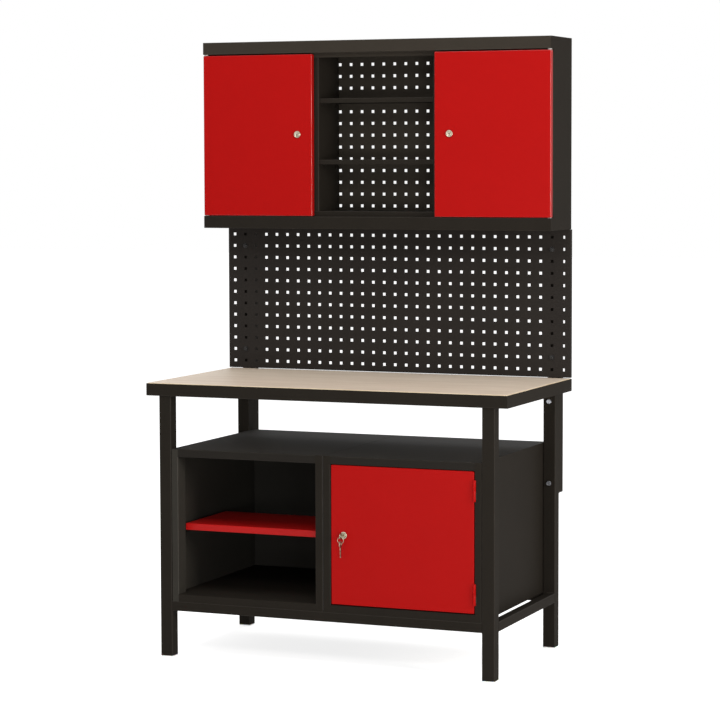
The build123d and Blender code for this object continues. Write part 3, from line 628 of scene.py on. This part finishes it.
def lock_faces():
    """A turned rim on each lock's collar, and on each plug a face with a dark pill that is painted
    shade of the key slot.
    """
    side_x, wall_y, wall_z = WALL_LOCK
    places = (("wall_lock_left", (-side_x, wall_y, wall_z), "wall_door_left", "wall_lock_cam_left"),
              ("wall_lock_right", WALL_LOCK, "wall_door_right", "wall_lock_cam_right"),
              ("base_lock", BASE_LOCK, "base_door", "base_lock_cam"))
    for name, (x, y, z), door, cam in places:
        rim, face, slot = bmesh.new(), bmesh.new(), bmesh.new()
        turned(rim, point(x, y, z), (0, -1, 0), LOCK_RIM, 48, capped=False)
        turned(face, point(x, y - PLUG_PROUD, z), (0, -1, 0), PLUG_FACE, 40)
        # Dark pill on the plug's face: painted shade of the key slot.
        keyway_shade(slot, x, y - PLUG_PROUD - 0.22, z)
        add_piece(name + "_rim", rim, door, "chrome", 30)
        add_piece(name + "_face", face, cam, "chrome", 30)
        add_piece(name + "_keyway", slot, cam, "dark_steel", 40)


def raised_rim(mesh, side, centre, half_y, half_z):
    """The stamped rim on one face of a key's bow."""
    middle = Vector((0.0, *centre))
    lift = Vector((side, 0, 0))
    rings = []
    for y, z in ellipse_points(centre, half_y, half_z, 0, 360, 48)[:-1]:
        away = (Vector((0.0, y, z)) - middle).normalized()
        spot = point(KEY_X + side * KEY_THICKNESS / 2, y, z)
        rings.append([mesh.verts.new(spot + MM * (out * away + height * lift))
                      for out, height in RIM_SECTION])
    rings.append(rings[0])
    skin(mesh, rings, capped=False)


def stamped_key(outline, bow, half_y, half_z):
    """A flat key round its outline, with a hole for the ring and a rim on both faces of its bow."""
    mesh = bmesh.new()
    hole = ellipse_points((RING_Y, bow[1]), KEY_HOLE, KEY_HOLE, 0, 360, 32)[:-1]
    flat_key(mesh, outline, hole, KEY_X, KEY_THICKNESS)
    for side in (-1, 1):
        raised_rim(mesh, side, bow, half_y, half_z)
    return mesh


def inserted_key():
    """The key in the base lock: oval bow with a stamped rim, shoulder and shank."""
    z = BASE_LOCK[2]
    bow = (-330.1, z)
    shank = [(-318.6, 4.6), (-316.8, 4.5), (-316.2, 3.8), (-298.1, 3.8)]
    outline = ellipse_points(bow, 11.0, 10.0, 22, 338, 56)
    outline += [(y, z - half) for y, half in shank]
    outline += [(y, z + half) for y, half in reversed(shank)]
    piece = add_piece("cut_key", stamped_key(outline, bow, 9.2, 8.2), "key", "key_steel", 30)
    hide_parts("key")


def hanging_key():
    """The spare key on the ring, with the cuts of its blade."""
    bow = (RING_Y, 390.0)
    shoulder = [(3.6, 379.8), (3.3, 378.2), (2.9, 377.6)]
    outline = ellipse_points(bow, 10.0, 10.0, -72, 252, 56)
    outline += [(RING_Y - half, z) for half, z in shoulder]
    edge = RING_Y - 2.9
    for index, cut in enumerate(BLADE_CUTS):
        z = 374.5 - index * 3.0
        outline += [(edge, z), (edge + cut, z - 1.2), (edge + cut, z - 1.8)]
    outline += [(RING_Y - 1.6, 349.4), (RING_Y + 0.6, 348.0), (RING_Y + 2.9, 350.6)]
    outline += [(RING_Y + half, z) for half, z in reversed(shoulder)]
    mesh = stamped_key(outline, bow, 8.4, 8.4)
    piece = add_piece("cut_spare_key", mesh, "key_ring", "key_steel", 30)
    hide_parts("spare_key")


def split_ring():
    """Split ring: two close turns of flat-sided wire with offset ends."""
    centre, radius = Vector((KEY_X, RING_Y, 402.0)), 9.75
    half_width, half_depth, half_gap = 0.36, 0.68, 0.38
    steps, turns, start = 64, 2.0, math.radians(250)
    mesh = bmesh.new()
    rings = []
    for i in range(int(steps * turns) + 1):
        share = i / (steps * turns)
        angle = start + 2 * math.pi * turns * share
        crossing = min(1.0, max(0.0, (share - 0.44) / 0.12))
        away = Vector((math.cos(angle), 0, math.sin(angle)))
        spot = centre + radius * away + Vector((0, half_gap * (2 * crossing - 1), 0))
        taper = min(1.0, 0.35 + 12 * min(share, 1 - share))
        ring = []
        for j in range(8):
            turn = 2 * math.pi * j / 8
            across = half_width * math.cos(turn) * Vector((0, 1, 0))
            outwards = half_depth * math.sin(turn) * away
            ring.append(mesh.verts.new(MM * (spot + taper * (across + outwards))))
        rings.append(ring)
    skin(mesh, rings)
    piece = add_piece("split_ring", mesh, "key_ring", "key_steel", 60)
    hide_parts("key_ring")


# ---- Door buffers ----------------------------------------------------------------------
BUFFER = [(4.2, -0.3, 0), (4.2, 0.5, 0), (3.9, 1.6, 0), (3.2, 2.7, 0), (2.1, 3.3, 0), (0.8, 3.5, 0)]


def door_buffers():
    """Rubber domes on the stops behind both wall doors."""
    mesh = bmesh.new()
    for side in (-1, 1):
        for x in (240.0, 400.0, 560.0):
            for z in (1375.5, 1876.0):
                turned(mesh, point(side * x, STOP_FACE, z), (0, -1, 0), BUFFER, 28)
    add_piece("door_buffers", mesh, "bench", "black_plastic", 30)


# ---- Dark strip between the two modules, painted shade in the joint --------------------
# Section as (x, depth from the face). Corners as (y, z, inward direction in y and z)
JOINT_STRIP_SECTION = ((-0.42, 3.5), (-0.42, 1.2), (-0.20, 0.8), (0.20, 0.8), (0.42, 1.2), (0.42, 3.5))
JOINT_STRIP_CORNERS = ((BASE_FRONT, 180.0, (1, 0)), (BASE_FRONT, 653.0, (1, -1)),
                (BASE_REAR, 653.0, (-1, -1)), (BASE_REAR, 180.0, (-1, 0)))


def joint_shade_strip():
    """A thin dark strip in the joint between the modules, painted shade in the gap: up the front,
    over the top, down the rear.
    """
    mesh = bmesh.new()
    rings = []
    for y, z, inward in JOINT_STRIP_CORNERS:
        rings.append([mesh.verts.new(point(x, y + depth * inward[0], z + depth * inward[1]))
                      for x, depth in JOINT_STRIP_SECTION])
    skin(mesh, rings)
    # Black strip sunk in the joint: painted shade of the gap between the modules.
    add_piece("joint_shade_strip", mesh, "bench", "black_plastic", 30)


rail_welds()
worktop_welds()
hinge_welds()
panel_screw_heads()
strap_screws()
bolt_ends()
bolt_crowns()
lock_faces()
inserted_key()
hanging_key()
split_ring()
door_buffers()
joint_shade_strip()

# ---- Stage, light and camera -----------------------------------------------------------


def seen_directly(tree):
    """1 for camera, mirror and glass rays, 0 for the rays that light the object."""
    rays = tree.nodes.new("ShaderNodeLightPath").outputs
    mirror_or_glass = larger(tree, rays["Is Glossy Ray"], rays["Is Transmission Ray"])
    return larger(tree, rays["Is Camera Ray"], mirror_or_glass)


def stage_material(name, diffuse, glow):
    """Pale matt surface that the camera sees as white, with the object's shadow kept."""
    material, tree, shader, coords = new_material(name)
    tint = ramp(tree, noise(tree, coords, 2.0, 2.0), [(0.3, (diffuse * 0.99,) * 3),
                                                      (0.7, (diffuse,) * 3)])
    tree.links.new(tint, shader.inputs["Base Color"])
    shader.inputs["Roughness"].default_value = 0.9
    shader.inputs["Specular IOR Level"].default_value = 0.0
    emission = tree.nodes.new("ShaderNodeEmission")
    strength = spread(tree, seen_directly(tree), 0.0, glow, 0.0, 1.0)
    tree.links.new(strength, emission.inputs["Strength"])
    total = tree.nodes.new("ShaderNodeAddShader")
    tree.links.new(shader.outputs[0], total.inputs[0])
    tree.links.new(emission.outputs[0], total.inputs[1])
    tree.links.new(total.outputs[0], tree.nodes["Material Output"].inputs["Surface"])
    return material


def make_floor(size, material):
    """A flat floor that fills the view from every side."""
    mesh = bmesh.new()
    bmesh.ops.create_grid(mesh, x_segments=8, y_segments=8, size=size / 2)
    data = bpy.data.meshes.new("floor")
    mesh.to_mesh(data)
    mesh.free()
    floor = bpy.data.objects.new("floor", data)
    data.materials.append(material)
    scene.collection.objects.link(floor)


def make_world(ambient):
    """Plain ambient light; camera, mirror and glass rays see white."""
    world = bpy.data.worlds.new("studio")
    scene.world = world
    world.use_nodes = True
    tree = world.node_tree
    background = tree.nodes["Background"]
    background.inputs["Color"].default_value = (1.0, 1.0, 1.0, 1.0)
    strength = spread(tree, seen_directly(tree), ambient, 1.0, 0.0, 1.0)
    tree.links.new(strength, background.inputs["Strength"])


def area_light(name, place, target, size, power, colour=(1.0, 1.0, 1.0)):
    """A rectangular lamp aimed at target; metres and watts."""
    light = bpy.data.lights.new(name, "AREA")
    light.shape = "RECTANGLE"
    light.size, light.size_y = size
    light.energy = power
    light.color = colour
    lamp = bpy.data.objects.new(name, light)
    scene.collection.objects.link(lamp)
    lamp.location = place
    lamp.rotation_euler = (Vector(target) - Vector(place)).to_track_quat("-Z", "Y").to_euler()


make_world(0.42)
make_floor(60.0, stage_material("floor", 0.82, 0.78))
area_light("front", (0.3, -5.4, 3.9), (0.0, 0.0, 1.2), (2.2, 0.9), 56.0)
area_light("fill", (0.0, -6.3, 0.5), (0.0, 0.0, 0.5), (2.6, 0.9), 40.0)
area_light("corner", (3.4, -5.2, 0.7), (0.0, 0.0, 0.6), (1.4, 0.9), 76.0)
area_light("side", (4.2, -1.5, 1.75), (0.4, 0.0, 1.7), (0.9, 1.56), 116.0, (1.0, 0.93, 0.87))
area_light("top", (0.3, -2.0, 4.2), (0.0, 0.0, 0.8), (3.0, 2.2), 64.0)
area_light("rear", (-0.4, 4.4, 4.4), (0.0, 0.0, 1.1), (3.0, 2.0), 84.0)

camera_data = bpy.data.cameras.new("camera")
camera_data.sensor_width = 36.0
camera_data.sensor_fit = "HORIZONTAL"
camera_data.lens = 127.6003
camera_data.shift_y = -0.04167
camera_data.clip_end = 100.0
camera = bpy.data.objects.new("camera", camera_data)
scene.collection.objects.link(camera)
camera.location = (3.0456, -7.36019, 1.55896)
camera.rotation_euler = tuple(math.radians(a) for a in (86.0927, 0.1546, 22.4944))
scene.camera = camera

scene.view_settings.view_transform = "Standard"
